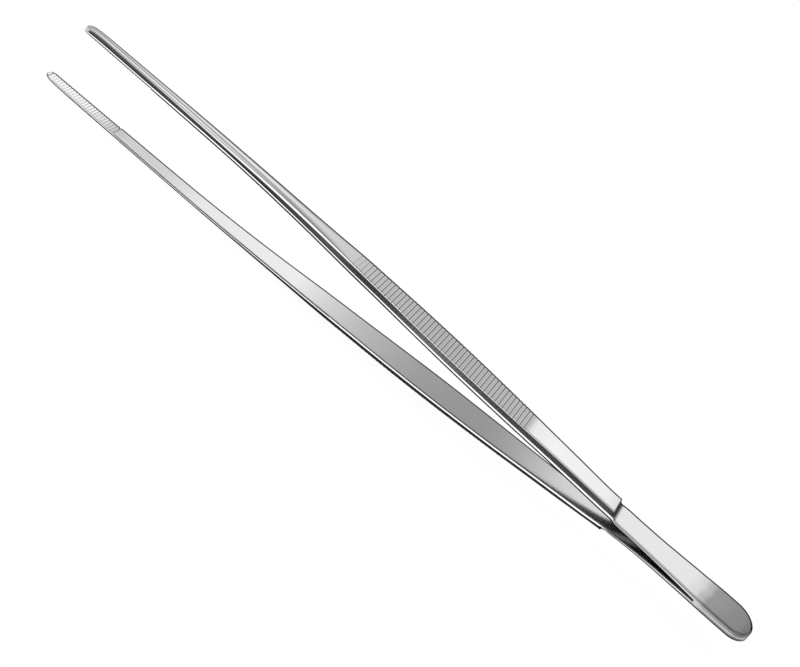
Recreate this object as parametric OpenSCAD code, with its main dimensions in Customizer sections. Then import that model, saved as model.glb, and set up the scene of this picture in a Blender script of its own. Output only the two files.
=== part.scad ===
// Long straight tweezers with serrated jaws, ribbed finger grips and a spring
// butt. Two forged steel arms, one the mirror of the other, are welded
// together at the butt. Millimetres. The tips are at -X, the butt at +X, the
// arms open along Z, the width runs along Y, and the origin is the centre of
// the whole object. "Station" means the distance from the butt end; "front"
// is towards the tips. Shapes are built for the upper arm (+Z).

/* [Overall] */
// Length from the butt end to the tips
total_len = 300; // [290:1:320]
// Gap between the inner faces at the tips, arms relaxed
tip_gap = 19; // [14:0.5:26]
// Station where the two arms part
weld_end = 22.8; // [20:0.1:25]
// Station of the shoulder, where the thin leaf meets the thick handle
shoulder_at = 61.6; // [60:0.1:64]
// Station where the ribbed grip starts
grip_from = 101; // [98:0.5:106]
// Number of ribs on each grip
rib_count = 49; // [30:1:49]
// Pitch of the grip ribs
rib_pitch = 1.63; // [1.2:0.01:1.64]
// Depth of the grooves between the ribs
rib_depth = 0.22; // [0.05:0.01:0.35]

/* [Widths] */
// Width of the welded butt
butt_w = 12.9; // [11:0.1:14]
// Width of the spring leaf at its narrow end
leaf_w = 10.0; // [9:0.1:11]
// Width of the handle just in front of the shoulder
neck_w = 8.7; // [8:0.1:9.5]
// Greatest width of the handle
grip_w = 11.4; // [10:0.1:13]
// Width of the shank halfway
shank_w = 6.3; // [5.5:0.1:7]
// Width of the jaws
jaw_w = 4.5; // [4:0.1:5.2]

/* [Thickness] */
// Thickness of one arm inside the weld
tang_t = 1.33; // [1.2:0.01:1.6]
// Thickness of the spring leaf at its thin end, by the shoulder
leaf_t = 0.75; // [0.6:0.01:1.1]
// Thickness of the handle at the shoulder
shoulder_t = 2.6; // [2.2:0.05:3]
// Thickness of the handle and the shank
arm_t = 2.25; // [2:0.05:2.6]
// Thickness of the jaws
jaw_t = 2.1; // [1.8:0.05:2.4]
// Run of the fillet at the shoulder
fillet_run = 1.9; // [1.4:0.1:2.4]

/* [Jaw teeth] */
// Length of the toothed part of each jaw
teeth_len = 30; // [24:0.5:30]
// Pitch of the teeth
tooth_pitch = 1.1; // [0.8:0.05:1.4]
// Depth of the teeth
tooth_depth = 0.3; // [0.1:0.02:0.4]
// How far the tooth crests sit behind the plain inner face
tooth_drop = 0.1; // [0.06:0.01:0.2]

/* [Spring hinges] */
// Station of the rear bending line of each leaf
bend_rear = 29; // [28:0.5:31]
// Station of the middle bending line
bend_mid = 42; // [40:0.5:44]
// Station of the front bending line
bend_front = 55; // [53:0.5:57]
// Slit between two leaf sections at a bending line
slit = 0.04; // [0.03:0.01:0.08]

/* [Weld] */
// Width of the weld bead, measured in from the edge
weld_w = 0.7; // [0.5:0.05:0.9]
// Height of the weld bead
weld_h = 0.5; // [0.3:0.05:0.7]

/* [Hidden] */

half_gap = tip_gap / 2;
half_slit = slit / 2;
jaw_root = 0.6;                    // length of the jaw behind its teeth
end_r = 7.7;                       // length of the rounded butt end
end_bluntness = 0.985;             // 1 would bring the butt end to a point
tip_r = 2.4;                       // length of the rounded tip
tip_bluntness = 0.93;              // 1 would bring the tip to a point
lip_len = 0.3;                     // short ramp just in front of the shoulder
lip_rise = 0.15;                   // thickness gained along that ramp
leaf_bevel = 0.2 * leaf_t;         // height of the bevel on the leaf
min_bevel = 0.15;                  // least height of the bevel elsewhere
max_inset = 0.42;                  // greatest inset, as a share of the width
seam_start = 0.9 * weld_w;         // station where the inside of the bead starts
min_seam_half_w = 0.2;             // least half width inside the bead
bevel_points = 3;                  // points on each rounded bevel

fillet_at = shoulder_at - fillet_run;
lip_end = shoulder_at + lip_len;
grip_to = grip_from + rib_count * rib_pitch;
jaw_from = total_len - teeth_len - jaw_root;
shank_len = jaw_from - grip_to;

function x_of(s) = total_len / 2 - s;
function on_shank(share) = grip_to + share * shank_len;
function mix(first, second, share) = (1 - share) * first + share * second;
function reversed(list) = [for (i = [len(list) - 1 : -1 : 0]) list[i]];
function spread(from, to, steps) =
    [for (i = [0 : steps]) from + (to - from) * i / steps];

// ---- Smooth curve through a table with rows [station, value] ----

function row_of(table, s, i = 0) =
    (i >= len(table) - 2 || s <= table[i + 1][0]) ? i : row_of(table, s, i + 1);
function slope(table, i) =
    let (before = table[max(i - 1, 0)],
         after = table[min(i + 1, len(table) - 1)])
    (after[1] - before[1]) / (after[0] - before[0]);
function curve(table, s) =
    let (i = row_of(table, s),
         run = table[i + 1][0] - table[i][0],
         u = max(0, min(1, (s - table[i][0]) / run)))
    (2 * u * u * u - 3 * u * u + 1) * table[i][1]
    + (u * u * u - 2 * u * u + u) * run * slope(table, i)
    + (3 * u * u - 2 * u * u * u) * table[i + 1][1]
    + (u * u * u - u * u) * run * slope(table, i + 1);

// ---- Shape of an arm along its length ----

// [station, distance of the inner face from the middle plane]
gap_table = [
    [weld_end, 0], [32, 0.030 * half_gap], [bend_mid, 0.063 * half_gap],
    [52, 0.108 * half_gap], [shoulder_at, 0.162 * half_gap],
    [82, 0.290 * half_gap], [107, 0.435 * half_gap],
    [132, 0.565 * half_gap], [157, 0.692 * half_gap],
    [grip_to, 0.800 * half_gap], [on_shank(0.28), 0.910 * half_gap],
    [on_shank(0.56), 0.985 * half_gap], [on_shank(0.80), half_gap],
    [total_len, half_gap]];
function gap_at(s) = s <= weld_end ? 0 : curve(gap_table, s);

// [station, width of the inner face before the ends are rounded]
width_table = [
    [0, butt_w], [14, butt_w], [weld_end, butt_w - 0.3],
    [32, mix(butt_w, leaf_w, 0.42)], [bend_mid, leaf_w + 0.7],
    [52, leaf_w + 0.1], [58, leaf_w - 0.1],
    [shoulder_at, neck_w + 0.1], [66, neck_w], [74, neck_w + 0.3],
    [90, mix(neck_w, grip_w, 0.4)], [107, grip_w - 0.6],
    [130, grip_w], [149, grip_w - 0.5], [166, grip_w - 1.5],
    [grip_to, mix(grip_w, shank_w, 0.48) + 0.1],
    [on_shank(0.25), mix(grip_w, shank_w, 0.78) - 0.1],
    [on_shank(0.5), shank_w - 0.1],
    [on_shank(0.8), mix(shank_w, jaw_w, 0.55)],
    [jaw_from, jaw_w + 0.25], [total_len - 14, jaw_w - 0.2],
    [total_len, jaw_w - 0.6]];
function tip_round(s) = s < total_len - tip_r ? 1
    : sqrt(1 - tip_bluntness * pow((s - total_len + tip_r) / tip_r, 2));
// Rounding of a butt outline that starts at the given station
function end_round(s, start = 0) = s > end_r ? 1
    : sqrt(1 - end_bluntness * pow((end_r - s) / (end_r - start), 2));
function half_width_at(s) = curve(width_table, s) * tip_round(s) * end_round(s) / 2;

// [station, thickness] in front of the lip
thick_table = [
    [lip_end, shoulder_t], [82, mix(shoulder_t, arm_t, 0.5)],
    [100, arm_t], [grip_to, arm_t], [on_shank(0.4), mix(arm_t, jaw_t, 0.6)],
    [jaw_from, jaw_t], [total_len - 11, jaw_t - 0.1],
    [total_len - 4, jaw_t - 0.45], [total_len, jaw_t - 1.2]];
function leaf_thick(s) = s <= weld_end ? tang_t
    : tang_t + (leaf_t - tang_t) * (s - weld_end) / (fillet_at - weld_end);
function fillet_thick(s) = leaf_t + (shoulder_t - lip_rise - leaf_t)
    * (1 - sqrt(1 - pow((s - fillet_at) / fillet_run, 2)));
function thick_at(s) = s <= fillet_at ? leaf_thick(s)
    : s < shoulder_at ? fillet_thick(s)
    : s < lip_end ? shoulder_t - lip_rise + lip_rise / lip_len * (s - shoulder_at)
    : curve(thick_table, s);

// [station, height of the upright side]
side_table = [
    [fillet_at, leaf_t - leaf_bevel], [shoulder_at, 1.15], [130, 1.2],
    [grip_to, 1.2], [jaw_from, 0.8], [total_len - 6, 0.7], [total_len, 0.35]];
function side_at(s) = s <= fillet_at ? leaf_thick(s) - leaf_bevel
    : min(curve(side_table, s), thick_at(s) - min_bevel);

// [station, inset of the outer face from each side]
inset_table = [
    [fillet_at, 0.08], [shoulder_at, 0.45], [82, 0.45], [130, 0.45],
    [grip_to, 0.5], [on_shank(0.3), 0.85], [jaw_from, 1.35], [total_len, 1.3]];
function inset_at(s) = min(curve(inset_table, s), max_inset * 2 * half_width_at(s));

// Exponent of the bevel: 2 is a flat bevel, 1 a quarter ellipse
function bevel_power_at(s) = s <= grip_to ? 2
    : max(1, 2 - (s - grip_to) / (0.4 * shank_len));

// One cross-section of an arm, with a number of points on each bevel.
// The cuts move the inner and the outer face into the metal.
function section(s, points = 0, inner_cut = 0, outer_cut = 0) =
    let (x = x_of(s),
         side_y = half_width_at(s),
         face_y = side_y - inset_at(s),
         inner_z = gap_at(s),
         side_z = inner_z + side_at(s),
         outer_z = inner_z + thick_at(s),
         power = bevel_power_at(s),
         bevel = [for (k = [1 : 1 : points]) let (angle = 90 * k / (points + 1))
             [x, face_y + (side_y - face_y) * pow(cos(angle), power),
              side_z + (outer_z - side_z) * pow(sin(angle), power)]])
    concat([[x, -side_y, inner_z + inner_cut], [x, side_y, inner_z + inner_cut],
            [x, side_y, side_z]],
           bevel,
           [[x, face_y, outer_z - outer_cut], [x, -face_y, outer_z - outer_cut]],
           [for (p = reversed(bevel)) [x, -p[1], p[2]]],
           [[x, -side_y, side_z]]);

// Closed solid through a row of sections, from the butt side to the tip side
module loft(sections) {
    n = len(sections[0]);
    last = len(sections) - 1;
    polyhedron(points = [for (ring = sections) each ring],
        faces = concat(
            [[for (i = [0 : n - 1]) i]],
            [[for (i = [n - 1 : -1 : 0]) last * n + i]],
            [for (j = [0 : last - 1]) for (i = [0 : n - 1])
                [j * n + i, (j + 1) * n + i, (j + 1) * n + (i + 1) % n]],
            [for (j = [0 : last - 1]) for (i = [0 : n - 1])
                [j * n + i, (j + 1) * n + (i + 1) % n, j * n + (i + 1) % n]]),
        convexity = 6);
}

// ---- Butt and spring leaf ----

// Stations of a butt outline, closer together towards the butt end
function butt_stations(from, to, steps) =
    [for (u = spread(0, 1, steps)) from + (to - from) * u * u];

// One edge of the arm in plan; side is 1 for +Y and -1 for -Y
function edge(stations, side) =
    [for (s = stations) [x_of(s), side * half_width_at(s)]];

// Piece of flat strip: its plan outline crossed with its side profile
module strip(plan_stations, side_stations) {
    blank_h = 8;                   // reaches past both faces of the strip
    blank_below = 1;
    intersection() {
        translate([0, 0, -blank_below]) linear_extrude(height = blank_h)
            polygon(concat(edge(plan_stations, 1),
                           reversed(edge(plan_stations, -1))));
        translate([0, butt_w, 0]) rotate([90, 0, 0])
            linear_extrude(height = 2 * butt_w)
                polygon(concat(
                    [for (s = side_stations) [x_of(s), gap_at(s)]],
                    [for (s = reversed(side_stations))
                        [x_of(s), gap_at(s) + leaf_thick(s)]]));
    }
}

// Inside edge of the weld bead in plan
function seam_edge(stations, side) =
    [for (s = stations) [x_of(s), side * max(min_seam_half_w,
        curve(width_table, s) / 2 * end_round(s, seam_start) - weld_w)]];

// Bead that follows the edge of the butt, open towards the tips
module seam() {
    steps = 24;
    outer = butt_stations(0, weld_end, steps);
    inner = butt_stations(seam_start, weld_end, steps);
    translate([0, 0, -weld_h / 2]) linear_extrude(height = weld_h)
        polygon(concat(reversed(edge(outer, 1)), edge(outer, -1),
                       reversed(seam_edge(inner, -1)), seam_edge(inner, 1)));
}

// Rear end of an arm, with room for the weld bead
module tang() {
    front = bend_rear - half_slit;
    difference() {
        strip(butt_stations(0, front, 30), [0, weld_end, 24.5, 26.5, front]);
        seam();
    }
}

// Leaf section between two bending lines
module leaf(rear_bend, front_bend) {
    stations = spread(rear_bend + half_slit, front_bend - half_slit, 6);
    strip(stations, stations);
}

// ---- Handle, grip, shank and jaw ----

// Front end of the leaf, shoulder fillet and plain part of the handle
module handle() {
    rear = bend_front + half_slit;
    fillet_steps = 8;
    stations = concat(
        [rear, (rear + fillet_at) / 2],
        [for (i = [0 : fillet_steps])
            fillet_at + fillet_run * sin(90 * i / fillet_steps)],
        spread(lip_end, grip_from, 8));
    loft([for (s = stations) section(s)]);
}

// Each pitch is a flat rib followed by a V groove
module finger_grip() {
    // [share of the pitch, share of the groove depth]
    groove = [[0.66, 0], [0.83, 1], [1, 0]];
    loft(concat([section(grip_from)],
                [for (i = [0 : rib_count - 1]) for (point = groove)
                    section(grip_from + (i + point[0]) * rib_pitch,
                            outer_cut = point[1] * rib_depth)]));
}

module shank() {
    loft([for (s = spread(grip_to, jaw_from, 18)) section(s, bevel_points)]);
}

// Jaw with its teeth moved towards the tip by a share of the pitch
module jaw(phase) {
    teeth = floor((teeth_len - tip_r) / tooth_pitch) - 1;
    teeth_from = total_len - teeth_len + phase * tooth_pitch;
    teeth_to = teeth_from + teeth * tooth_pitch;
    tip_steps = 6;
    tip_cut = 0.12;                // extra cut at the very tip
    // [station, cut of the inner face]
    root = [[jaw_from, 0], [jaw_from + 0.15, 0],
            [jaw_from + 0.3, tooth_drop + tooth_depth]];
    tooth_row = [for (i = [0 : teeth - 1]) for (valley = [0, 1])
        [teeth_from + (i + valley / 2) * tooth_pitch,
         tooth_drop + valley * tooth_depth]];
    tip = [for (i = [0 : tip_steps])
        [teeth_to + (total_len - teeth_to) * sin(90 * i / tip_steps),
         tooth_drop + tip_cut * pow(i / tip_steps, 2)]];
    loft([for (row = concat(root, tooth_row, tip))
        section(row[0], bevel_points, inner_cut = row[1])]);
}

// ---- Nodes ----

// Turns a piece of the upper arm over into the lower arm
module lower() { rotate([180, 0, 0]) children(); }

module butt_weld() { color("gainsboro") seam(); }
module upper_tang() { color("lightgray") tang(); }
module upper_leaf_rear() { color("gainsboro") leaf(bend_rear, bend_mid); }
module upper_leaf_front() { color("gainsboro") leaf(bend_mid, bend_front); }
module upper_handle() { color("whitesmoke") handle(); }
module upper_finger_grip() { color("darkgray") finger_grip(); }
module upper_shank() { color("silver") shank(); }
module upper_jaw() { color("silver") jaw(0); }
module lower_tang() { color("lightgray") lower() tang(); }
module lower_leaf_rear() { color("gainsboro") lower() leaf(bend_rear, bend_mid); }
module lower_leaf_front() { color("gainsboro") lower() leaf(bend_mid, bend_front); }
module lower_handle() { color("whitesmoke") lower() handle(); }
module lower_finger_grip() { color("darkgray") lower() finger_grip(); }
module lower_shank() { color("silver") lower() shank(); }
module lower_jaw() { color("silver") lower() jaw(0.5); }

butt_weld();
upper_tang();
upper_leaf_rear();
upper_leaf_front();
upper_handle();
upper_finger_grip();
upper_shank();
upper_jaw();
lower_tang();
lower_leaf_rear();
lower_leaf_front();
lower_handle();
lower_finger_grip();
lower_shank();
lower_jaw();
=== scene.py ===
"""Looks for the long straight tweezers: two forged steel arms with serrated
jaws and ribbed grips, welded together at the butt. The tips are at -X, the
butt at +X, the arms open along Z and the width runs along Y."""
import math

import bpy
import numpy as np
from mathutils import Matrix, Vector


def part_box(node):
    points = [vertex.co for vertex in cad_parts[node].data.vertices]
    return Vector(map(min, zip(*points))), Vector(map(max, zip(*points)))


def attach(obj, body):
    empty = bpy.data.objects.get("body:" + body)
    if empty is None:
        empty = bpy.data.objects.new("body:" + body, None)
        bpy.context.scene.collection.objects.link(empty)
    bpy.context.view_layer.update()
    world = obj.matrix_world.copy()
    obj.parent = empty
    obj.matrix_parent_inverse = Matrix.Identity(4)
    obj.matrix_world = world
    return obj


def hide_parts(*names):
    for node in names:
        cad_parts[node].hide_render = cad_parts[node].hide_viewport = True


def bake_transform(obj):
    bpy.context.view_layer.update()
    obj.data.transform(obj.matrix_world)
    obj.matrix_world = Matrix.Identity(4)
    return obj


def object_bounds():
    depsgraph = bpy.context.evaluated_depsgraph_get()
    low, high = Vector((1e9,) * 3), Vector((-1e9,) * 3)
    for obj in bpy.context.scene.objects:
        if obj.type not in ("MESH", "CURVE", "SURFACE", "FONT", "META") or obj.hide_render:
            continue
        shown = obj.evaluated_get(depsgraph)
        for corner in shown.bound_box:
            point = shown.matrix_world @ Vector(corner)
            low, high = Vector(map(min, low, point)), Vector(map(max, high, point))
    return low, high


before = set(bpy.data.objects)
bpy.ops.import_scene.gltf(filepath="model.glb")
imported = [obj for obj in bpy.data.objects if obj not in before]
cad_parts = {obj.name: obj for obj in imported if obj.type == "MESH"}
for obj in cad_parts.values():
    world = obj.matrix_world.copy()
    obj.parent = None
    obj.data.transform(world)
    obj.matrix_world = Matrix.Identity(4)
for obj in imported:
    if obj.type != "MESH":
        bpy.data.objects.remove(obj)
cad_lo, cad_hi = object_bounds()

MM = 0.001
scene = bpy.context.scene

# ----------------------------------------------------------------------------
# Stations (mm from the butt end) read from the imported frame
# ----------------------------------------------------------------------------
BUTT_X = cad_hi.x / MM
TOTAL = (cad_hi.x - cad_lo.x) / MM


def station(x):
    return BUTT_X - x / MM


def reach(node):
    lo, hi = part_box(node)
    return station(hi.x), station(lo.x)


WELD_END = reach("butt_weld")[1]
BEND_REAR = 0.5 * (reach("upper_tang")[1] + reach("upper_leaf_rear")[0])
BEND_MID = 0.5 * (reach("upper_leaf_rear")[1] + reach("upper_leaf_front")[0])
BEND_FRONT = 0.5 * (reach("upper_leaf_front")[1] + reach("upper_handle")[0])
GRIP_FROM, GRIP_TO = reach("upper_finger_grip")
JAW_FROM = reach("upper_jaw")[0]
RIBS = 49
PITCH = (GRIP_TO - GRIP_FROM) / RIBS
SHOULDER = 61.1
FILLET = 2.0
FOOT = SHOULDER - FILLET
BUTT_W = (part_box("butt_weld")[1].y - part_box("butt_weld")[0].y) / MM
LEAF_W, NECK_W, GRIP_W, SHANK_W, JAW_W = 10.0, 8.7, 11.4, 6.3, 4.5
TANG_T, LEAF_T, SHOULDER_T, ARM_T, JAW_T = 1.33, 0.75, 2.2, 2.1, 1.6
HALF_GAP = 9.5
SHANK = JAW_FROM - GRIP_TO
END_R, TIP_R = 7.7, 2.4
TEETH_FROM = TOTAL - 30
TOOTH = 1.1


def table(rows):
    rows = np.array(rows, float)
    x, y = rows[:, 0], rows[:, 1]
    m = np.empty(len(x))
    m[1:-1] = (y[2:] - y[:-2]) / (x[2:] - x[:-2])
    m[0] = (y[1] - y[0]) / (x[1] - x[0])
    m[-1] = (y[-1] - y[-2]) / (x[-1] - x[-2])
    return x, y, m


def curve(tb, s):
    x, y, m = tb
    s = np.asarray(s, float)
    i = np.clip(np.searchsorted(x, s, side="left") - 1, 0, len(x) - 2)
    h = x[i + 1] - x[i]
    u = np.clip((s - x[i]) / h, 0, 1)
    return ((2 * u**3 - 3 * u * u + 1) * y[i] + (u**3 - 2 * u * u + u) * h * m[i]
            + (3 * u * u - 2 * u**3) * y[i + 1] + (u**3 - u * u) * h * m[i + 1])


GAP = table([[WELD_END, 0], [32, 0.030 * HALF_GAP], [BEND_MID, 0.063 * HALF_GAP],
             [52, 0.108 * HALF_GAP], [SHOULDER, 0.162 * HALF_GAP],
             [82, 0.290 * HALF_GAP], [107, 0.435 * HALF_GAP],
             [132, 0.565 * HALF_GAP], [157, 0.692 * HALF_GAP],
             [GRIP_TO, 0.800 * HALF_GAP],
             [GRIP_TO + 0.28 * SHANK, 0.910 * HALF_GAP],
             [GRIP_TO + 0.56 * SHANK, 0.985 * HALF_GAP],
             [GRIP_TO + 0.80 * SHANK, HALF_GAP], [TOTAL, HALF_GAP]])
WIDE = table([[0, BUTT_W], [14, BUTT_W], [WELD_END, BUTT_W - 0.3],
              [32, 0.58 * BUTT_W + 0.42 * LEAF_W], [BEND_MID, LEAF_W + 0.7],
              [52, LEAF_W + 0.1], [58, LEAF_W - 0.1],
              [SHOULDER, NECK_W + 0.1], [66, NECK_W], [74, NECK_W + 0.3],
              [90, 0.6 * NECK_W + 0.4 * GRIP_W], [107, GRIP_W - 0.6],
              [130, GRIP_W], [149, GRIP_W - 0.5], [166, GRIP_W - 1.5],
              [GRIP_TO, 0.52 * GRIP_W + 0.48 * SHANK_W + 0.1],
              [GRIP_TO + 0.25 * SHANK, 0.22 * GRIP_W + 0.78 * SHANK_W - 0.1],
              [GRIP_TO + 0.5 * SHANK, SHANK_W - 0.1],
              [GRIP_TO + 0.8 * SHANK, 0.45 * SHANK_W + 0.55 * JAW_W],
              [JAW_FROM, JAW_W + 0.25], [TOTAL - 14, JAW_W - 0.2],
              [TOTAL, JAW_W - 0.6]])
THICK = table([[SHOULDER + 0.3, SHOULDER_T], [82, 0.5 * (SHOULDER_T + ARM_T)],
               [100, ARM_T], [GRIP_TO, ARM_T],
               [GRIP_TO + 0.2 * SHANK, 0.9 * ARM_T + 0.1 * JAW_T],
               [GRIP_TO + 0.4 * SHANK, 0.5 * ARM_T + 0.5 * JAW_T],
               [GRIP_TO + 0.62 * SHANK, JAW_T],
               [JAW_FROM, JAW_T], [TOTAL - 11, JAW_T - 0.05],
               [TOTAL - 4, JAW_T - 0.25], [TOTAL, JAW_T - 0.8]])
SIDE = table([[FOOT, LEAF_T - 0.25], [SHOULDER, 1.0], [82, 1.0], [130, 0.93],
              [GRIP_TO, 0.9], [GRIP_TO + 0.4 * SHANK, 0.72], [JAW_FROM, 0.6],
              [TOTAL - 6, 0.55], [TOTAL, 0.3]])
INSET = table([[FOOT, 0.12], [SHOULDER, 0.85], [82, 0.75], [100, 0.68], [130, 0.6],
               [149, 0.58], [GRIP_TO, 0.75], [GRIP_TO + 0.2 * SHANK, 0.9],
               [GRIP_TO + 0.5 * SHANK, 1.1], [JAW_FROM, 1.2], [TOTAL, 1.1]])
CAP = table([[170, 0], [178, 0.02], [190, 0.35], [205, 0.6], [225, 0.85],
             [240, 1.0], [TOTAL, 1.0]])


def gap_at(s):
    return np.where(s <= WELD_END, 0.0, curve(GAP, s))


def leaf_thick(s):
    return np.where(s <= WELD_END, TANG_T,
                    TANG_T + (LEAF_T - TANG_T) * (s - WELD_END) / (FOOT - WELD_END))


def thick_at(s):
    u = np.clip((s - FOOT) / FILLET, 0, 1)
    rise = LEAF_T + (SHOULDER_T - 0.15 - LEAF_T) * (1 - np.sqrt(1 - u * u))
    return np.where(s <= FOOT, leaf_thick(s),
                    np.where(s < SHOULDER, rise,
                             np.where(s < SHOULDER + 0.3,
                                      SHOULDER_T - 0.15 + 0.5 * (s - SHOULDER),
                                      curve(THICK, s))))


def side_at(s):
    return np.where(s <= FOOT, leaf_thick(s) - np.where(s < WELD_END, 0.17, 0.25),
                    np.minimum(curve(SIDE, s), thick_at(s) - 0.15))


def wide_at(s):
    """Half width of the inner face."""
    tip = np.clip((s - (TOTAL - TIP_R)) / TIP_R, 0, 1)
    end = np.clip((END_R - s) / END_R, 0, 1)
    return (0.5 * curve(WIDE, s) * np.sqrt(np.maximum(1 - tip * tip, 0.0016))
            * np.sqrt(np.maximum(1 - end * end, 1e-9)))


# ----------------------------------------------------------------------------
# Ribs of the grip and teeth of the jaws: depth cut from the face
# ----------------------------------------------------------------------------
RIB_U = np.array([0.0, 0.05, 0.09, 0.16, 0.30, 0.37, 0.44, 0.51, 0.58, 0.685, 0.70, 0.72,
                  0.81, 0.835, 0.86, 0.955, 0.975])
RIB_D = np.array([0.025, 0.012, 0.0, 0.0, 0.0, 0.0, 0.0, 0.0, 0.0, 0.004, 0.016, 0.04,
                  0.12, 0.13, 0.12, 0.05, 0.035])


def rib_cut(s):
    u = (s - GRIP_FROM) / PITCH
    inside = (u > 0) & (u < RIBS)
    d = np.interp(u - np.floor(u), np.append(RIB_U, 1.0), np.append(RIB_D, 0.025))
    d = d * np.interp(RIBS - u, [0, 1, 4], [0.3, 0.45, 1.0])
    return np.where(inside, d, 0.0)


TOOTH_U = np.array([0.0, 0.10, 0.2, 0.5, 0.58, 0.66, 0.94])
TOOTH_D = np.array([0.0, 0.005, 0.02, 0.13, 0.16, 0.13, 0.01])


def tooth_cut(s, phase):
    u = (s - TEETH_FROM) / TOOTH - phase
    d = 0.1 + np.interp(u - np.floor(u), np.append(TOOTH_U, 1.0), np.append(TOOTH_D, 0.0))
    last = TOTAL - 1.2
    d = np.where(u < 0, 0.1 + 0.3 * np.clip(1 - abs(s - (JAW_FROM + 0.45)) / 0.3, 0, 1), d)
    d = np.where(s > last, 0.1 + 0.05 * (s - last), d)
    ramp = np.clip((s - JAW_FROM - 0.12) / 0.25, 0, 1)
    return d * ramp


# ----------------------------------------------------------------------------
# Half cross-section: distance q in from the side wall, height z and the angle
# of the shading normal (0 straight out of the outer face, 90 out of the side,
# 180 out of the inner face). The edges are small fillets whose normals start
# to turn a little way inside each face, as on a polished, eased edge.
# ----------------------------------------------------------------------------
K = 24
CAP_A = np.radians([2.5, 6.5, 11, 16.5, 23, 31, 40, 50, 60, 70, 80, 90])


# The two arms are forged and ground by hand, so the upper one runs a little
# wider and thicker than the lower one: station, then what is added to the gap,
# the half width, the thickness, the inset of the outer face and the side's height
EXTRA = np.array([[0, 0, 0.10, 0.08, 0, 0], [14, 0, 0.22, 0.08, 0, 0], [22.8, 0, 0.05, 0, 0, 0],
                  [40, 0, 0.05, 0, 0, 0], [58.8, 0.08, 0.22, 0, 0, 0],
                  [61.6, 0.15, 0.25, 0.22, -0.36, 0], [68.8, 0.17, 0.25, 0.24, -0.36, 0],
                  [82, 0.15, 0.15, 0.28, -0.30, 0], [108, 0.06, 0.10, 0.30, -0.22, 0],
                  [148, 0.03, 0.10, 0.30, -0.20, 0], [180, 0.05, 0.10, 0.32, -0.18, 0],
                  [202, 0.05, 0.08, 0.36, 0, 0.05], [215, 0.06, 0.05, 0.46, 0, 0.1],
                  [249, 0.08, 0.05, 0.66, 0, 0.15], [280, 0.08, 0.05, 0.64, 0, 0.15],
                  [300, 0.05, 0.0, 0.75, 0, 0.2]])
# and the whole spring end stands a little high
HIGH = table([[0, 0.20], [12, 0.30], [28, 0.45], [54, 0.42], [66, 0.05], [74, 0.0], [TOTAL, 0.0]])


def extra(s, k, low):
    return 0 * s if low else np.interp(s, EXTRA[:, 0], EXTRA[:, k])


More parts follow.
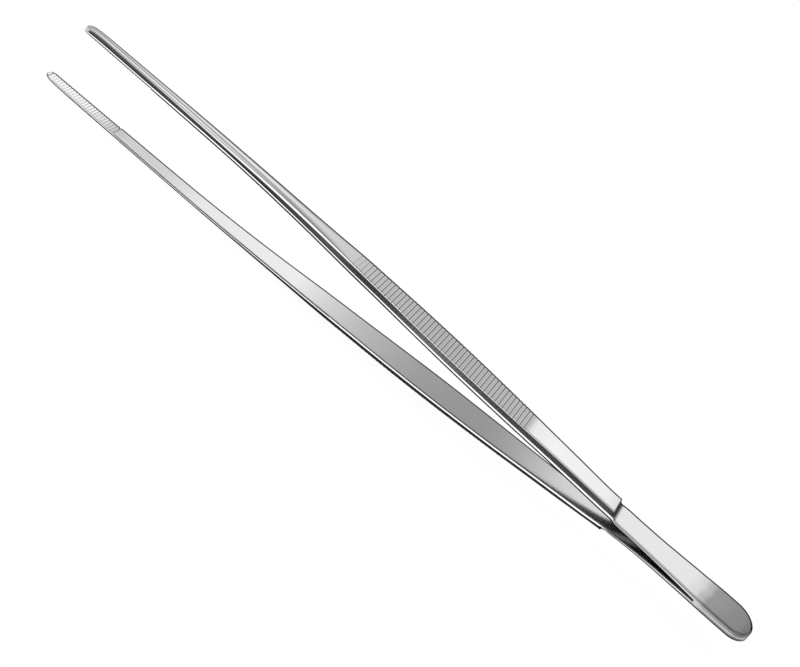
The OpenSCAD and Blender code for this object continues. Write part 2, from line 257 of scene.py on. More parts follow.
def profile(s, ribs=False, teeth=None, weld=False, low=False, near=False):
    s = np.atleast_1d(np.asarray(s, float))
    n = len(s)
    w = np.where(s < END_R, 0.5 * curve(WIDE, s), wide_at(s)) + extra(s, 2, low)
    g, t, h = gap_at(s) + extra(s, 1, low), thick_at(s) + extra(s, 3, low), side_at(s)
    h = h + extra(s, 5, low)
    i = np.minimum(curve(INSET, s) + extra(s, 4, low), 0.42 * w * 2)
    leaf = s < FOOT
    m = curve(CAP, s)
    lift = tooth_cut(s, teeth) if teeth is not None else np.zeros(n)
    cut = rib_cut(s) if ribs else np.zeros(n)
    i = i * (t - cut - h) / (t - h)
    t = t - cut
    # rounded nose of the tip, seen from the side
    nose = np.clip((s - (TOTAL - 0.9)) / 0.9, 0, 1)
    shrink = np.sqrt(1 - 0.93 * nose * nose)
    y = np.zeros((n, K))
    z = np.zeros((n, K))
    a = np.zeros((n, K))
    r1 = np.minimum(0.13, 0.3 * w)
    e1 = np.minimum(0.85, 0.42 * w)
    lo = g + lift
    side = np.maximum(h - lift, 0.12)
    c1 = np.minimum(r1, 0.22 * side)
    # eased lower lip: wider on the upper arm
    if low:
        b1 = np.where(s > JAW_FROM, 0.05, np.where(s > 175, 0.34, 0.24))
    else:
        b1 = np.interp(s, [150, 180, 235, 262], [0.46, 0.58, 0.50, 0.42])
    b2 = b1 + 0.10
    cap = 0.5 if low else 0.62
    cols = [(0 * w, lo, 180), (0.5 * (w - e1), lo, 180), (w - e1, lo, 180),
            (w - np.where(near, np.minimum(0.3, 0.3 * w), 0.66 * e1), lo,
             np.where(near, 178, 168)), (w - 0.5 * r1, lo, 145),
            (w, lo + c1, 125), (w, lo + np.maximum(np.minimum(b1, cap * side), c1 + 0.005), 110)]
    if weld:
        cols = [(0 * w, lo, 180), (0.5 * (w - 0.5), lo, 180), (w - 0.5, lo, 180),
                (w - 0.5, lo + 0.25, 180), (w - 0.06, lo + 0.25, 150),
                (w, lo + 0.271, 90), (w, lo + 0.5, 90)]
    top = g + h
    d1, d2, turn = (0.36, 0.24, 70) if low else (0.12, 0.04, 86)
    cols += [(w, top - np.minimum(d1, 0.3 * side), 90),
             (w, top - np.minimum(d2, 0.2 * side), turn)]
    cols = [(p, q, np.full(n, 1.0) * r) for p, q, r in cols]
    lb = np.sqrt(i * i + (t - h)**2)
    ub, vb = -i / lb, (t - h) / lb
    tb = np.degrees(np.arctan2(t - h, i))
    r3 = np.minimum(0.12, 0.25 * lb)
    e3 = np.minimum(0.17, 0.32 * lb)
    e2 = np.minimum(0.10, 0.20 * lb)
    r2 = np.minimum(0.04, 0.12 * lb)
    inner = w - i
    e4 = np.minimum(0.95, 0.45 * inner)
    flat = [(w + ub * r2, top + vb * r2, 90 - (90 - tb) * 0.7),
            (w + ub * e2, top + vb * e2, tb),
            (w + ub * 0.5 * lb, top + vb * 0.5 * lb, tb),
            (w + ub * (lb - e3), top + vb * (lb - e3), tb),
            (w + ub * (lb - r3), top + vb * (lb - r3), tb * 0.66),
            (inner + 0.25 * (-ub * r3 - r3), g + t - 0.25 * vb * r3, tb * 0.5),
            (inner - 0.22 * e4, g + t, tb * np.where(leaf & near, 0.12, 0.38)),
            (inner - 0.62 * e4, g + t, tb * np.where(leaf & near, 0.03, 0.16)),
            (inner - e4, g + t, 0 * w),
            (0.62 * (inner - e4), g + t, 0 * w),
            (0.30 * (inner - e4), g + t, 0 * w),
            (0 * w, g + t, 0 * w)]
    assert len(flat) == len(CAP_A)
    for k, ang in enumerate(CAP_A):
        yf, zf, af = flat[k]
        ye = w * math.cos(ang)
        ze = top + (t - h) * math.sin(ang)
        ae = np.degrees(np.arctan2(math.cos(ang) / np.maximum(w, 1e-6),
                                   math.sin(ang) / np.maximum(t - h, 1e-6)))
        cols.append(((1 - m) * yf + m * ye, (1 - m) * zf + m * ze,
                     (1 - m) * af + m * ae))
    cols.insert(7, (w, np.maximum(lo + np.minimum(b2, (cap + 0.1) * side), cols[6][1] + 0.005)
                    if not weld else 0.5 * (cols[6][1] + cols[7][1]), np.full(n, 91.0)))
    cols.insert(2, (0.5 * (w - e1) * 1.5 if not weld else 0.75 * (w - 0.5), lo, np.full(n, 180.0)))
    cols.insert(1, (0.25 * (w - e1) if not weld else 0.25 * (w - 0.5), lo, np.full(n, 180.0)))
    for k, (p, q, r) in enumerate(cols):
        y[:, k], z[:, k], a[:, k] = p, q, r
    mid = (lo + g + t)[:, None] / 2
    z = mid + (z - mid) * shrink[:, None]
    z += (-1 if low else 1) * curve(HIGH, s)[:, None]
    return w[:, None] - y, z, np.radians(a)


assert K == 7 + 2 + len(CAP_A) + 3

# How many of the half profile's points there are, and the ring they make
HALF = K
RING = 2 * HALF - 2


def plan_normal(s):
    """Outward normal of the plan outline on the +y side."""
    u = np.clip((END_R - s) / END_R, 0, 1)
    w0 = 0.5 * curve(WIDE, s)
    nx = u / END_R
    ny = np.sqrt(np.maximum(1 - u * u, 1e-9)) / w0
    ln = np.hypot(nx, ny)
    return nx / ln, ny / ln


def points(s, low=False, **kw):
    """Ring points in millimetres, shape (stations, RING, 3), and normal angles:
    the +y half from the inner centre to the outer centre, then the -y half back."""
    s = np.atleast_1d(np.asarray(s, float))
    w = (wide_at(s) * (1 + extra(s, 2, low) / (0.5 * curve(WIDE, s))))[:, None]
    x = np.repeat((BUTT_X - s)[:, None], HALF, 1)
    nx, ny = plan_normal(s)
    nx, ny = nx[:, None], ny[:, None]
    butt = (s < END_R)[:, None]
    halves = []
    for side in (1, -1):
        q, z, a = profile(s, low=low, near=(side < 0) != low, **kw)
        # q runs in from the side wall, square to the rounded outline of the butt
        wide = np.maximum(q[:, :1], 1e-6)             # q of the centre line
        full = w / ny
        strip = np.minimum(1.1, 0.9 * full)
        qq = np.where(q <= 1.1, np.minimum(q, strip),
                      strip + (q - 1.1) / np.maximum(wide - 1.1, 1e-6) * (full - strip))
        xx = np.where(butt, x - nx * qq, x)
        yy = np.where(butt, np.maximum(w - ny * qq, 0.0), np.maximum(w - q, 0.0))
        halves.append((xx, side * yy, z, side * a))
    back = slice(HALF - 2, 0, -1)
    xx, yy, zz, aa = (np.concatenate([p, m[:, back]], 1) for p, m in zip(*halves))
    return np.stack([xx, yy, zz], 2), aa


def ring_normals(s, aa, step, **kw):
    lo = np.clip(s - step, 1e-4, TOTAL)
    hi = np.clip(s + step, 1e-4, TOTAL)
    p0, _ = points(lo, **kw)
    p1, _ = points(hi, **kw)
    along = p1 - p0
    flat = np.stack([np.zeros_like(aa), np.sin(aa), np.cos(aa)], 2)
    across = np.stack([np.zeros_like(aa), np.cos(aa), -np.sin(aa)], 2)
    n = np.cross(across, along)
    ln = np.linalg.norm(n, axis=2, keepdims=True)
    n = np.where(ln > 1e-9, n / np.maximum(ln, 1e-12), flat)
    sign = np.sign((n * flat).sum(2, keepdims=True))
    sign[sign == 0] = 1
    return n * sign


# ----------------------------------------------------------------------------
# Painted reflections and shade: the grey level (0-255) painted on each band of the section
# for its reflections and shade, against the distance X from the middle of the tweezers in millimetres
# ----------------------------------------------------------------------------
def grey(rows):
    rows = np.array(rows, float)

    def at(x):
        v = np.interp(x, rows[:, 0], rows[:, 1]) / 255
        return ((v + 0.055) / 1.055)**2.4
    return at


# INNER, OUTER, EDGE, LIP and BEVEL: painted reflection and shade brightness of each band along X
INNER = grey([(-150, 190), (-121, 190), (-116, 208), (-99, 212), (-82, 236), (-42, 240),
              (-33, 222), (-24, 208), (-15, 190), (-3, 174), (9, 160), (26, 152),
              (36, 152), (43, 158), (51, 170), (59, 188), (68, 208), (78, 222),
              (87, 224), (93, 188), (103, 180), (115, 185), (150, 190)])
OUTER = grey([(-150, 205), (-132, 215), (-118, 226), (-100, 236), (-70, 238), (-55, 222),
              (-42, 212), (-34, 206), (-28, 198), (-15, 191), (0, 184), (14, 182),
              (30, 185), (43, 188), (48.5, 190), (50.5, 240), (60, 248), (70, 246),
              (84, 242), (88.5, 228), (92, 232), (110, 234), (150, 234)])
EDGE = grey([(-150, 245), (-40, 250), (-10, 246), (20, 238), (42, 232), (52, 196),
             (70, 172), (88, 166), (92, 205), (150, 225)])
LIP = grey([(-150, 250), (-45, 250), (-30, 205), (-10, 188), (10, 172), (40, 170),
            (60, 190), (88, 200), (150, 200)])
BEVEL = grey([(-150, 235), (-148.6, 215), (-147, 90), (-90, 110), (-60, 180), (-30, 240), (-10, 255), (150, 255)])


def tone_rows(s, cut=None, lift=None, low=False):
    """Painted reflections and shade: tone of the half section's points at stations s, rows x HALF."""
    x = BUTT_X - s
    tone = np.ones((len(s), HALF))
    # painted reflection and shade per band: inner face, lip, side wall, bevel, edge, a darker outer corner and
    # the outer face
    tone[:, 0:5] = INNER(x)[:, None]
    tone[:, 5] = 0.5 * (INNER(x) + LIP(x))
    tone[:, 6] = LIP(x)
    tone[:, 7:9] = 0.8
    tone[:, 9:13] = np.interp(x, [88, 92, 124, 132, 150],
                              [1.0, 0.66, 0.66, 0.62 if low else 0.85,
                               0.62 if low else 0.85])[:, None]
    tone[:, 13:16] = BEVEL(x)[:, None]
    tone[:, 16:19] = EDGE(x)[:, None]
    tone[:, 19] = np.minimum(OUTER(x), 0.65)
    tone[:, 20:] = OUTER(x)[:, None]
    # painted shade on the ground fillet behind the shoulder
    u = (s - FOOT) / (FILLET + 0.3)
    painted_fillet_shade = np.where((u > 0) & (u <= 1.02), np.interp(u, [0, 0.12, 0.35, 0.6, 0.85, 1.0],
                                                     [1.0, 0.62, 0.30, 0.12, 0.05, 0.4]), 1.0)
    tone[:, 14:] *= painted_fillet_shade[:, None]
    if low:
        # painted shade on the lower arm's side wall along the fillet
        tone[:, 10:14] *= np.where((u > 0.02) & (u < 1.3), 0.12, 1.0)[:, None]
    # painted shade: the outer corner's dark line, darker towards the tips
    tone[:, 19] *= np.interp(x, [-60, -20, -5], [0.28, 0.34, 0.75])
    if cut is not None:
        # painted shade in the ribs' grooves, with painted highlights and shade across each rib, weaker over the
        # last ribs
        f = 1 - 0.55 * np.clip(cut / 0.12, 0, 1)**0.8
        u = (s - GRIP_FROM) / PITCH
        some = np.interp(RIBS - u, [0, 1, 4], [0.2, 0.5, 1.0])
        u = u % 1
        f *= 1 + some * (0.35 * np.exp(-((u - 0.09) / 0.06)**2)
                         - 0.22 * np.exp(-((u - 0.37) / 0.08)**2)
                         + 0.28 * np.exp(-((u - 0.56) / 0.05)**2))
        tone[:, 14:] *= f[:, None]
    if lift is not None:
        # painted light on the jaws: brighter towards the tips, with painted shade in the teeth's grooves
        deep = np.clip((lift - 0.11) / 0.14, 0, 1)
        tone[:, 0:6] = (np.interp(x, [-150, -140, -126, -119], [1.3, 1.2, 0.9, 0.62])
                        * (1 - 0.38 * deep))[:, None]
        if low:
            # lower jaw: painted bright and dark bands on the side and a painted dark rim at the very tip
            tone[:, 6:11] = 1.0
            tone[:, 11:14] = 0.3
            tone[:, 5:] *= np.interp(x, [-150, -149.0, -147.8], [0.22, 0.4, 1.0])[:, None]
    return tone


def make_object(name, verts, faces, loop_normals, material, tone=0.9):
    mesh = bpy.data.meshes.new(name)
    mesh.from_pydata([tuple(v) for v in verts], [], faces)
    layer = mesh.attributes.new("tone", "FLOAT", "POINT")
    layer.data.foreach_set("value", np.broadcast_to(np.asarray(tone, np.float32),
                                                    (len(verts),)).copy())
    mesh.polygons.foreach_set("use_smooth", [True] * len(mesh.polygons))
    mesh.update()
    mesh.normals_split_custom_set([tuple(v) for v in loop_normals])
    obj = bpy.data.objects.new(name, mesh)
    mesh.materials.append(material)
    scene.collection.objects.link(obj)
    return obj


def loft(name, s, material, lower=False, step=0.02, round_butt=False, **kw):
    """Closed solid through the sections at stations s (from butt to tip)."""
    s = np.asarray(s, float)
    kw["low"] = lower
    p, aa = points(s, **kw)
    nrm = ring_normals(s, aa, step, **kw)
    rows = len(s)
    if lower:
        p = p * np.array([1, -1, -1.0])
        nrm = nrm * np.array([1, -1, -1.0])
    verts = (p * MM).reshape(-1, 3)
    vn = nrm.reshape(-1, 3)
    half = tone_rows(s, rib_cut(s) if kw.get("ribs") else None,
                     tooth_cut(s, kw["teeth"]) if kw.get("teeth") is not None else None,
                     lower)
    tone = np.concatenate([half, half[:, HALF - 2:0:-1]], 1).reshape(-1)
    faces, loops = [], []
    idx = np.arange(rows * RING).reshape(rows, RING)
    for j in range(rows - 1):
        a, b = idx[j], idx[j + 1]
        for k in range(RING):
            k2 = (k + 1) % RING
            f = (int(a[k]), int(b[k]), int(b[k2]), int(a[k2]))
            faces.append(f)
            loops.extend(vn[list(f)])
    for row, sign in ((0, 1.0), (rows - 1, -1.0)):
        smooth_cap = (row == 0 and round_butt) or (row == rows - 1 and s[-1] > TOTAL - 0.01)
        cap_n = np.array([sign, 0, 0.0])
        r = idx[row]
        for k in range(HALF - 1):
            left = [(RING - q) % RING for q in (k, k + 1)]
            f = [int(r[k]), int(r[k + 1]), int(r[left[1]]), int(r[left[0]])]
            f = list(dict.fromkeys(f))
            if sign < 0:
                f = f[::-1]
            faces.append(tuple(f))
            loops.extend(vn[f] if smooth_cap else [cap_n] * len(f))
    return make_object(name, verts, faces, np.array(loops), material, tone)


# ----------------------------------------------------------------------------
# Materials: procedural satin and polished steel
# ----------------------------------------------------------------------------
def node(nt, kind, x=0, y=0, **props):
    nd = nt.nodes.new(kind)
    nd.location = (x, y)
    for key, value in props.items():
        setattr(nd, key, value)
    return nd


def math_node(nt, op, a, b=None, clamp=False):
    nd = nt.nodes.new("ShaderNodeMath")
    nd.operation = op
    nd.use_clamp = clamp
    for slot_i, v in enumerate((a, b)):
        if v is None:
            continue
        if isinstance(v, (int, float)):
            nd.inputs[slot_i].default_value = v
        else:
            nt.links.new(v, nd.inputs[slot_i])
    return nd.outputs[0]


def ramp_node(nt, fac, stops, interpolation="LINEAR"):
    nd = nt.nodes.new("ShaderNodeValToRGB")
    cr = nd.color_ramp
    cr.interpolation = interpolation
    stops = sorted(stops)
    while len(cr.elements) > 1:
        cr.elements.remove(cr.elements[-1])
    cr.elements[0].position = stops[0][0]
    cr.elements[0].color = (stops[0][1],) * 3 + (1,)
    for pos, val in stops[1:]:
        e = cr.elements.new(pos)
        e.color = (val,) * 3 + (1,)
    nt.links.new(fac, nd.inputs[0])
    return nd.outputs[0]


def mapped(nt, coord, scale, loc=(0, 0, 0)):
    nd = nt.nodes.new("ShaderNodeMapping")
    nd.inputs["Scale"].default_value = scale
    nd.inputs["Location"].default_value = loc
    nt.links.new(coord, nd.inputs["Vector"])
    return nd.outputs[0]


def noise(nt, vec, scale, detail=3.0, rough=0.55):
    nd = nt.nodes.new("ShaderNodeTexNoise")
    nd.inputs["Scale"].default_value = scale
    nd.inputs["Detail"].default_value = detail
    nd.inputs["Roughness"].default_value = rough
    nt.links.new(vec, nd.inputs["Vector"])
    return nd.outputs[0]


def steel(name, rough, grain=(0.12, 9.0, 9.0), grain_bump=0.003, speck=0.04,
          ramp=None, slant=0.0):
    """Polished steel. The mesh attribute "tone" carries the painted reflections and shade;
    ramp is a list of (x in mm, factor) for one more slow change of painted reflection."""
    mat = bpy.data.materials.new(name)
    mat.use_nodes = True
    nt = mat.node_tree
    nt.nodes.clear()
    out = node(nt, "ShaderNodeOutputMaterial", 900)
    bsdf = node(nt, "ShaderNodeBsdfPrincipled", 600)
    nt.links.new(bsdf.outputs[0], out.inputs[0])
    bsdf.inputs["Metallic"].default_value = 1.0
    coord = node(nt, "ShaderNodeTexCoord", -1400).outputs["Object"]
    mm = mapped(nt, coord, (1000, 1000, 1000))
    tone = node(nt, "ShaderNodeAttribute", -1000, 300, attribute_name="tone").outputs["Fac"]
    # the ramp paints a slow reflection change along X, tilted by slant and wobbled by noise
    if ramp:
        sep = node(nt, "ShaderNodeSeparateXYZ", -1000)
        nt.links.new(mm, sep.inputs[0])
        x = math_node(nt, "ADD", sep.outputs["X"],
                      math_node(nt, "MULTIPLY", sep.outputs["Y"], slant))
        wob = noise(nt, mapped(nt, mm, (0.05, 0.25, 0.25)), 1.0, 2.0)
        x = math_node(nt, "ADD", x, math_node(nt, "MULTIPLY",
                                              math_node(nt, "SUBTRACT", wob, 0.5), 3.0))
        lo, hi = ramp[0][0], ramp[-1][0]
        fac = math_node(nt, "DIVIDE", math_node(nt, "SUBTRACT", x, lo), hi - lo, clamp=True)
        tone = math_node(nt, "MULTIPLY", tone, ramp_node(
            nt, fac, [((q - lo) / (hi - lo), v) for q, v in ramp], "EASE"))
    # fine streaks along the polishing direction, soft smudges and pinpoint specks
    streak = noise(nt, mapped(nt, mm, grain), 1.0, 4.0, 0.6)
    smudge = noise(nt, mapped(nt, mm, (0.10, 0.30, 0.30)), 1.0, 3.0)
    pin = noise(nt, mapped(nt, mm, (1.6, 2.4, 2.4)), 1.0, 2.0, 0.7)
    var = math_node(nt, "ADD", 1.0 - 0.5 * (0.06 + 0.05 + speck),
                    math_node(nt, "MULTIPLY", streak, 0.06))
    var = math_node(nt, "ADD", var, math_node(nt, "MULTIPLY", smudge, 0.05))
    var = math_node(nt, "ADD", var, math_node(nt, "MULTIPLY", pin, speck))
    val = math_node(nt, "MULTIPLY", tone, var, clamp=True)
    comb = node(nt, "ShaderNodeCombineColor", 300)
    for k in range(3):
        nt.links.new(val, comb.inputs[k])
    nt.links.new(comb.outputs[0], bsdf.inputs["Base Color"])
    r = math_node(nt, "ADD", rough - 0.045, math_node(nt, "MULTIPLY", smudge, 0.05))
    r = math_node(nt, "ADD", r, math_node(nt, "MULTIPLY", streak, 0.04))
    nt.links.new(r, bsdf.inputs["Roughness"])
    # brushed micro relief and a few longer hairline scratches
    hair = noise(nt, mapped(nt, mm, (0.035, 5.5, 5.5), (3, 7, 1)), 1.0, 1.0, 0.5)
    hair = math_node(nt, "MULTIPLY",
                     math_node(nt, "SUBTRACT", hair, 0.66, clamp=True), 3.0, clamp=True)
    height = math_node(nt, "SUBTRACT", streak, math_node(nt, "MULTIPLY", hair, 0.6))
    bump = node(nt, "ShaderNodeBump", 300, -300)
    bump.inputs["Strength"].default_value = 0.5
    bump.inputs["Distance"].default_value = grain_bump * MM
    nt.links.new(height, bump.inputs["Height"])
    nt.links.new(bump.outputs[0], bsdf.inputs["Normal"])
    return mat


# painted reflection: the room's end, painted as a darkening along X that runs across the joint of tang and leaf
END = [(100, 1.0), (122, 0.97), (127, 0.86), (130, 0.62), (133, 0.38), (144, 0.31), (150, 0.2)]
m_butt = steel("tang_steel", 0.18, slant=-0.25, ramp=END)
m_leaf = steel("leaf_steel", 0.13, grain_bump=0.001, slant=-0.25, ramp=END)
m_handle = steel("handle_steel", 0.17)
m_grip = steel("grip_steel", 0.18, grain=(6.0, 0.5, 0.5), grain_bump=0.0015, speck=0.06)
m_shank = steel("shank_steel", 0.15)
m_jaw = steel("jaw_steel", 0.15)
m_weld = steel("weld_steel", 0.22, grain=(2.0, 6.0, 2.0), speck=0.10)


# ----------------------------------------------------------------------------
# Pieces
# ----------------------------------------------------------------------------
def even(a, b, pitch):
    return np.linspace(a, b, max(2, int(round(abs(b - a) / pitch)) + 1))


EPS = 1e-6
butt_rows = END_R * (1 - np.cos(np.radians(np.array([1.5, 4, 7, 10.5, 14, 18, 22, 26.5, 31,
                                                     36, 41, 46, 51, 56.5, 62, 68, 74, 80, 85]))))
tang_rows = np.concatenate([butt_rows, even(END_R, WELD_END, 1.2)])
rib_rows = np.concatenate([GRIP_FROM + (i + RIB_U) * PITCH for i in range(RIBS)] + [[GRIP_TO]])
rib_rows[0] += EPS
fillet_rows = FOOT + FILLET * np.sin(np.radians(np.linspace(0, 90, 15)))
handle_rows = np.concatenate([fillet_rows, [SHOULDER + 0.06, SHOULDER + 0.15, SHOULDER + 0.3,
                                            SHOULDER + 0.7], even(SHOULDER + 1.5, GRIP_FROM, 1.2)])
tip_rows = TOTAL - TIP_R + TIP_R * np.sin(np.radians([0, 10, 20, 30, 40, 50, 58, 66, 73, 79, 84, 90]))

bend_x = {"rear": BUTT_X - BEND_REAR, "mid": BUTT_X - BEND_MID, "front": BUTT_X - BEND_FRONT}
CUT_A, CUT_B = 0.5 * (BEND_REAR + BEND_MID), 0.5 * (BEND_MID + BEND_FRONT)

for arm in ("upper", "lower"):
    low = arm == "lower"
    tang = loft(arm + "_tang_plate", tang_rows, m_butt, low, round_butt=True, weld=True)
    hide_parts(arm + "_tang")
    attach(tang, "butt")

    spans = [("leaf_root", WELD_END, CUT_A, "butt", arm + "_rear_spring",
              WELD_END + 0.4, CUT_A - 0.4, arm + "_tang"),
             ("leaf_middle", CUT_A, CUT_B, arm + "_rear_spring", arm + "_front_spring",
              CUT_A + 0.2, CUT_B - 0.2, arm + "_leaf_rear"),
             ("leaf_end", CUT_B, FOOT, arm + "_front_spring", arm + "_arm",
              CUT_B + 0.4, FOOT - 0.4, arm + "_leaf_front")]
    for label, a, b, body_a, body_b, from_s, to_s, cad in spans:
        piece = loft(f"{arm}_{label}", even(a, b, 0.8), m_leaf, low)
        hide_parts(cad)
        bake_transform(piece)

    handle = loft(arm + "_handle_bar", handle_rows, m_handle, low, step=0.01)
    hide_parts(arm + "_handle")
    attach(handle, arm + "_arm")

    grip = loft(arm + "_ribbed_grip", rib_rows, m_grip, low, step=0.008, ribs=True)
    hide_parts(arm + "_finger_grip")
    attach(grip, arm + "_arm")

    shank = loft(arm + "_round_shank", even(GRIP_TO, JAW_FROM, 1.5), m_shank, low)
    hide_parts(arm + "_shank")
    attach(shank, arm + "_arm")

    phase = 0.5 if low else 0.0
    first = TEETH_FROM + phase * TOOTH
    n_teeth = int((TOTAL - 1.2 - first) / TOOTH)
    teeth_rows = np.concatenate([first + (i + TOOTH_U) * TOOTH for i in range(n_teeth)])
    lead = [JAW_FROM, JAW_FROM + 0.12, JAW_FROM + 0.16, JAW_FROM + 0.3, JAW_FROM + 0.37,
            JAW_FROM + 0.45, JAW_FROM + 0.6]
    rows = np.concatenate([lead, teeth_rows, tip_rows, [TOTAL - 1.2, TOTAL - 0.9]])
    rows = np.unique(np.round(rows, 5))
    rows = rows[np.concatenate([[True], np.diff(rows) > 0.012])]
    jaw = loft(arm + "_serrated_jaw", rows, m_jaw, low, step=0.006, teeth=phase)
    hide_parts(arm + "_jaw")
    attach(jaw, arm + "_arm")

# The weld: a ground bead that runs round the edge of the butt between the tangs
q_sec = np.array([0.0, -0.006, -0.01, -0.012, -0.01, -0.006, 0.0, 0.45, 0.45])
z_sec = np.array([-0.268, -0.2, -0.1, 0.0, 0.1, 0.2, 0.268, 0.24, -0.24])
a_sec = np.radians([94, 92, 91, 90, 89, 88, 86, 0, 180])
half_s = np.concatenate([even(WELD_END - 0.02, END_R, 1.2), butt_rows[::-1]])
hx, hy = plan_normal(half_s)
outline = [(BUTT_X - s, wide_at(s), nx, ny) for s, nx, ny in zip(half_s, hx, hy)]
outline += [(x, -y, nx, -ny) for x, y, nx, ny in outline[::-1]]
verts, vn = [], []
for x, y, nx, ny in outline:
    for q, z, a in zip(q_sec, z_sec, a_sec):
        lim = min(q, max(0.0, abs(y) / max(abs(ny), 1e-6) * 0.9))
        up = float(curve(HIGH, BUTT_X - x))
        verts.append(((x - nx * lim) * MM, (y - ny * lim) * MM, (z + up) * MM))
        sn = math.sin(a) if q < 0.3 else 0.0
        v = np.array([nx * sn, ny * sn, math.cos(a)])
        vn.append(v / np.linalg.norm(v))
vn = np.array(vn)
m_sec = len(q_sec)
faces, loops = [], []
for j in range(len(outline) - 1):
    for k in range(m_sec):
        k2 = (k + 1) % m_sec
        f = [j * m_sec + k, j * m_sec + k2, (j + 1) * m_sec + k2, (j + 1) * m_sec + k]
        faces.append(tuple(f))
        loops.extend(vn[f])
for j, sign in ((0, 1), (len(outline) - 1, -1)):
    f = [j * m_sec + k for k in range(m_sec)]
    if sign > 0:
        f = f[::-1]
    faces.append(tuple(f))
    loops.extend([np.array([-1.0, 0, 0])] * len(f))
weld = make_object("butt_weld_bead", verts, faces, np.array(loops), m_weld, 0.55)
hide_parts("butt_weld")
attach(weld, "butt")


# ----------------------------------------------------------------------------
# Studio: one soft tent of light, dark flags in front and behind as for
# photographing polished metal, and a plain pale floor
# ----------------------------------------------------------------------------
group = bpy.data.node_groups.new("studio_light", "ShaderNodeTree")
group.interface.new_socket("Direction", in_out="INPUT", socket_type="NodeSocketVector")
group.interface.new_socket("Light", in_out="OUTPUT", socket_type="NodeSocketFloat")
gi = group.nodes.new("NodeGroupInput")
go = group.nodes.new("NodeGroupOutput")
sep = group.nodes.new("ShaderNodeSeparateXYZ")
group.links.new(gi.outputs[0], sep.inputs[0])
rx, ry, rz = sep.outputs
ang = math_node(group, "ARCTAN2", rz, ry)
ang = math_node(group, "DIVIDE", ang, 2 * math.pi)
ang = math_node(group, "FRACT", math_node(group, "ADD", ang, 1.0))
GAIN = 1.5
E1 = [(0, .05), (14, .14), (20, .55), (26, .95), (31, 1.0), (36, 1.0), (43, .55),
      (50, .36), (56, .45), (63, 1.05), (72, 1.3), (94, 1.3), (102, .7), (108, .12),
      (116, .04), (130, .04), (138, .09), (146, .12), (158, .12), (165, .09), (172, .04),
      (181, .03), (186, .08), (190, .6), (195, 1.2), (222, 1.2), (230, .25), (240, .04),
      (270, .02), (360, .05)]
E2 = [(-90, .05), (-62, .2), (-44, .8), (-30, 1.0), (-15, 1.0), (-3, .5), (0, .12), (6, .15),
      (12, .8), (30, .95), (45, .55), (60, .7), (80, 1.25), (90, 1.3)]
e1 = ramp_node(group, ang, [(p / 360, v / GAIN) for p, v in E1])
elev = math_node(group, "ARCSINE", rz)
elev = math_node(group, "ADD", math_node(group, "DIVIDE", elev, math.pi), 0.5)
e2 = ramp_node(group, elev, [((p + 90) / 180, v / GAIN) for p, v in E2])
away = math_node(group, "ABSOLUTE", rx)
away = math_node(group, "DIVIDE", math_node(group, "SUBTRACT", away, 0.42), 0.33, clamp=True)
mix = group.nodes.new("ShaderNodeMix")
mix.data_type = "FLOAT"
group.links.new(away, mix.inputs[0])
group.links.new(e1, mix.inputs[2])
group.links.new(e2, mix.inputs[3])
light = math_node(group, "MULTIPLY", mix.outputs[0], GAIN)
group.links.new(light, go.inputs[0])

world = bpy.data.worlds.new("studio")
scene.world = world
world.use_nodes = True
nt = world.node_tree
nt.nodes.clear()
w_out = nt.nodes.new("ShaderNodeOutputWorld")
bg = nt.nodes.new("ShaderNodeBackground")
nt.links.new(bg.outputs[0], w_out.inputs[0])
tc = nt.nodes.new("ShaderNodeTexCoord")
grp = nt.nodes.new("ShaderNodeGroup")
grp.node_tree = group
nt.links.new(tc.outputs["Generated"], grp.inputs[0])
path = nt.nodes.new("ShaderNodeLightPath")
pick = nt.nodes.new("ShaderNodeMix")
pick.data_type = "FLOAT"
nt.links.new(path.outputs["Is Glossy Ray"], pick.inputs[0])
pick.inputs[2].default_value = 1.0
nt.links.new(grp.outputs[0], pick.inputs[3])
nt.links.new(pick.outputs[0], bg.inputs["Strength"])
bg.inputs["Color"].default_value = (1, 1, 1, 1)
world.cycles.sampling_method = "NONE"

floor_mat = bpy.data.materials.new("pale_floor")
floor_mat.use_nodes = True
nt = floor_mat.node_tree
nt.nodes.clear()
f_out = nt.nodes.new("ShaderNodeOutputMaterial")
geo = nt.nodes.new("ShaderNodeNewGeometry")
flip = nt.nodes.new("ShaderNodeVectorMath")
flip.operation = "SCALE"
flip.inputs["Scale"].default_value = -1.0
nt.links.new(geo.outputs["Incoming"], flip.inputs[0])
grp = nt.nodes.new("ShaderNodeGroup")
grp.node_tree = group
nt.links.new(flip.outputs[0], grp.inputs[0])
glow = nt.nodes.new("ShaderNodeEmission")
nt.links.new(grp.outputs[0], glow.inputs["Strength"])
soft = nt.nodes.new("ShaderNodeEmission")
soft.inputs["Strength"].default_value = 0.955
matte = nt.nodes.new("ShaderNodeBsdfDiffuse")
matte.inputs["Color"].default_value = (0.06, 0.06, 0.06, 1)
both = nt.nodes.new("ShaderNodeAddShader")
nt.links.new(soft.outputs[0], both.inputs[0])
nt.links.new(matte.outputs[0], both.inputs[1])
path = nt.nodes.new("ShaderNodeLightPath")
mixs = nt.nodes.new("ShaderNodeMixShader")
nt.links.new(path.outputs["Is Glossy Ray"], mixs.inputs[0])
nt.links.new(both.outputs[0], mixs.inputs[1])
nt.links.new(glow.outputs[0], mixs.inputs[2])
nt.links.new(mixs.outputs[0], f_out.inputs[0])
floor_mat.cycles.emission_sampling = "NONE"

floor_z = cad_lo.z - 0.0002
size = 8.0
fm = bpy.data.meshes.new("floor")
fm.from_pydata([(-size, -size, floor_z), (size, -size, floor_z),
                (size, size, floor_z), (-size, size, floor_z)], [], [(0, 1, 2, 3)])
fm.materials.append(floor_mat)
floor = bpy.data.objects.new("floor", fm)
scene.collection.objects.link(floor)

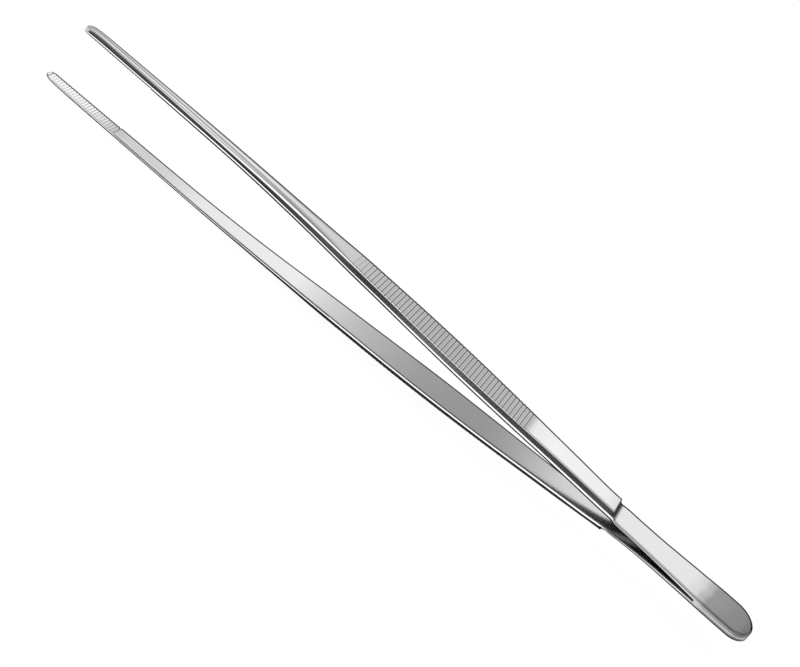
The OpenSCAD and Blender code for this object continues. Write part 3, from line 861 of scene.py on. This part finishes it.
key = bpy.data.lights.new("soft_key", "AREA")
key.shape = "DISK"
key.size = 0.9
key.energy = 1.2
key_obj = bpy.data.objects.new("soft_key", key)
key_obj.location = (-0.15, -0.2, 0.9)
key_obj.rotation_euler = (math.radians(-12), math.radians(-9), 0)
key_obj.visible_glossy = False
scene.collection.objects.link(key_obj)

# ----------------------------------------------------------------------------
# Camera: looks level along +Y through a strongly shifted lens, so the arms
# are seen from 33 degrees above while lengths and openings keep their scale
# ----------------------------------------------------------------------------
cam_data = bpy.data.cameras.new("camera")
cam = bpy.data.objects.new("camera", cam_data)
scene.collection.objects.link(cam)
EYE = (0.0229, -0.5628, 0.3619)
SHIFT = (-0.957535, -0.96158)
c, s_ = 0.75904, 0.65104
cam.matrix_world = Matrix(((c, -s_, 0, EYE[0]), (0, 0, -1, EYE[1]),
                           (s_, c, 0, EYE[2]), (0, 0, 0, 1)))
cam_data.sensor_fit = "HORIZONTAL"
cam_data.sensor_width = 36.0
cam_data.lens = 75.86
cam_data.clip_start = 0.01
cam_data.clip_end = 50.0
# The lens shift belongs to this one viewpoint: it is tied to the camera's
# place, so a camera moved anywhere else has a plain, centred lens.
COPIES = 8                              # a finer scale for the curve's keys
for prop, value in (("shift_x", SHIFT[0]), ("shift_y", SHIFT[1])):
    fc = cam_data.driver_add(prop)
    while fc.modifiers:
        fc.modifiers.remove(fc.modifiers[0])
    fc.driver.type = "SUM"
    for k in range(COPIES):
        var = fc.driver.variables.new()
        var.name = f"place{k}"
        var.type = "TRANSFORMS"
        var.targets[0].id = cam
        var.targets[0].transform_type = "LOC_Y"
        var.targets[0].transform_space = "WORLD_SPACE"
    here = COPIES * EYE[1]
    for at, v in ((-500.0, 0.0), (here - 0.06, 0.0), (here - 0.03, value),
                  (here + 0.03, value), (here + 0.06, 0.0), (500.0, 0.0)):
        fc.keyframe_points.insert(at, v).interpolation = "LINEAR"
    fc.extrapolation = "CONSTANT"
scene.camera = cam

scene.view_settings.view_transform = "Standard"
scene.view_settings.look = "None"
scene.view_settings.exposure = 0.0
scene.view_settings.gamma = 1.0
